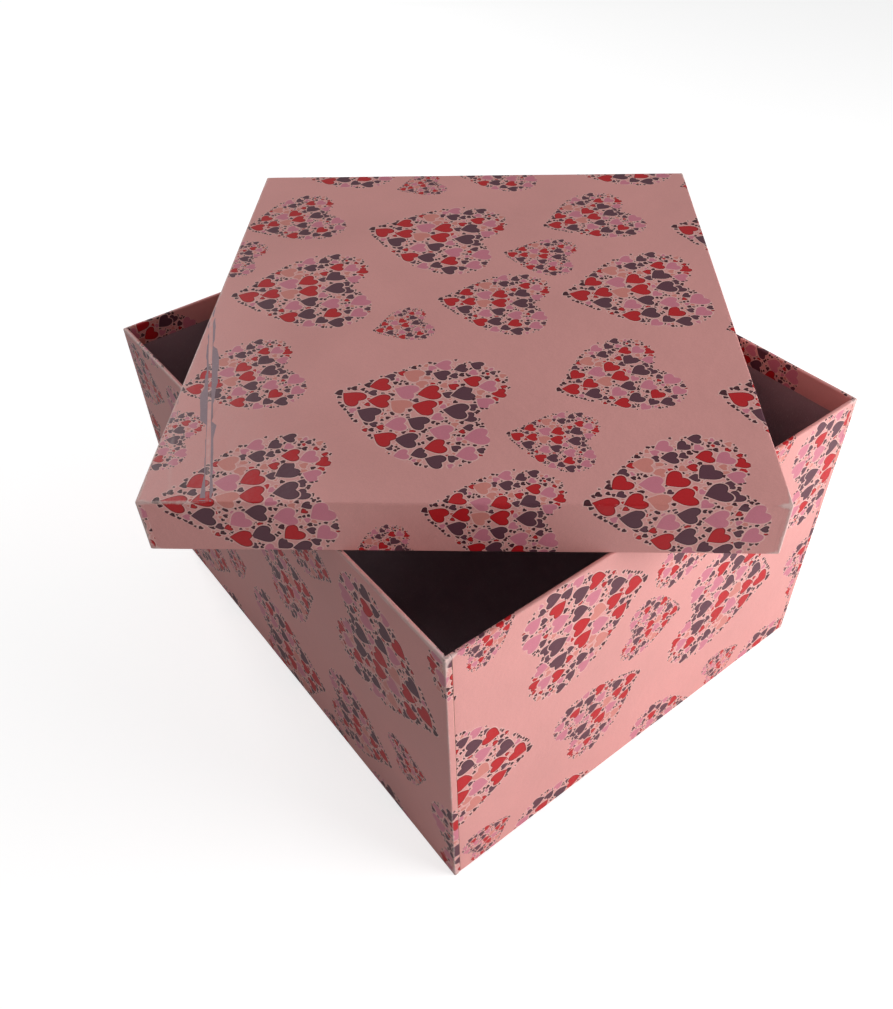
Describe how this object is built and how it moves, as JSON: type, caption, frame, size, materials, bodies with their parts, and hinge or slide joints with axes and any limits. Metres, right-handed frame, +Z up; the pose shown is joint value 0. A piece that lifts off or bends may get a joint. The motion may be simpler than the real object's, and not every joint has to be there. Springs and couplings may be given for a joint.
{
  "type": "flower box",
  "caption": "Two-piece rigid cardboard flower box, a deep rectangular tray with a shallow lift-off lid lying turned across its rim, covered in heart-print paper.",
  "frame": {"origin": "centre of the base's underside", "axes": "+Z up out of the base, +X to the base's right and -Y out of its front wall"},
  "size_m": [0.3868, 0.392, 0.1983],
  "materials": {
    "printed_paper": "satin, all-over heart print on dusty pink",
    "greyboard": "matte, recycled grey pulp",
    "stay_paper": "matte kraft"
  },
  "bodies": {
    "base": {"base_bottom_board": "greyboard", "base_front_board": "greyboard", "base_back_board": "greyboard", "base_left_board": "greyboard", "base_right_board": "greyboard", "base_stay_front_left": "stay_paper", "base_stay_front_right": "stay_paper", "base_stay_back_left": "stay_paper", "base_stay_back_right": "stay_paper", "base_cover_bottom": "printed_paper", "base_cover_front": "printed_paper", "base_cover_back": "printed_paper", "base_cover_left": "printed_paper", "base_cover_right": "printed_paper"},
    "lid": {"lid_top_board": "greyboard", "lid_front_board": "greyboard", "lid_back_board": "greyboard", "lid_left_board": "greyboard", "lid_right_board": "greyboard", "lid_stay_front_left": "stay_paper", "lid_stay_front_right": "stay_paper", "lid_stay_back_left": "stay_paper", "lid_stay_back_right": "stay_paper", "lid_cover": "printed_paper"}
  },
  "joints": [
    {"name": "lid_lift", "type": "slide", "parent": "base", "child": "lid", "axis": [0, 0, 1], "range_m": [0, 0.2]}
  ]
}
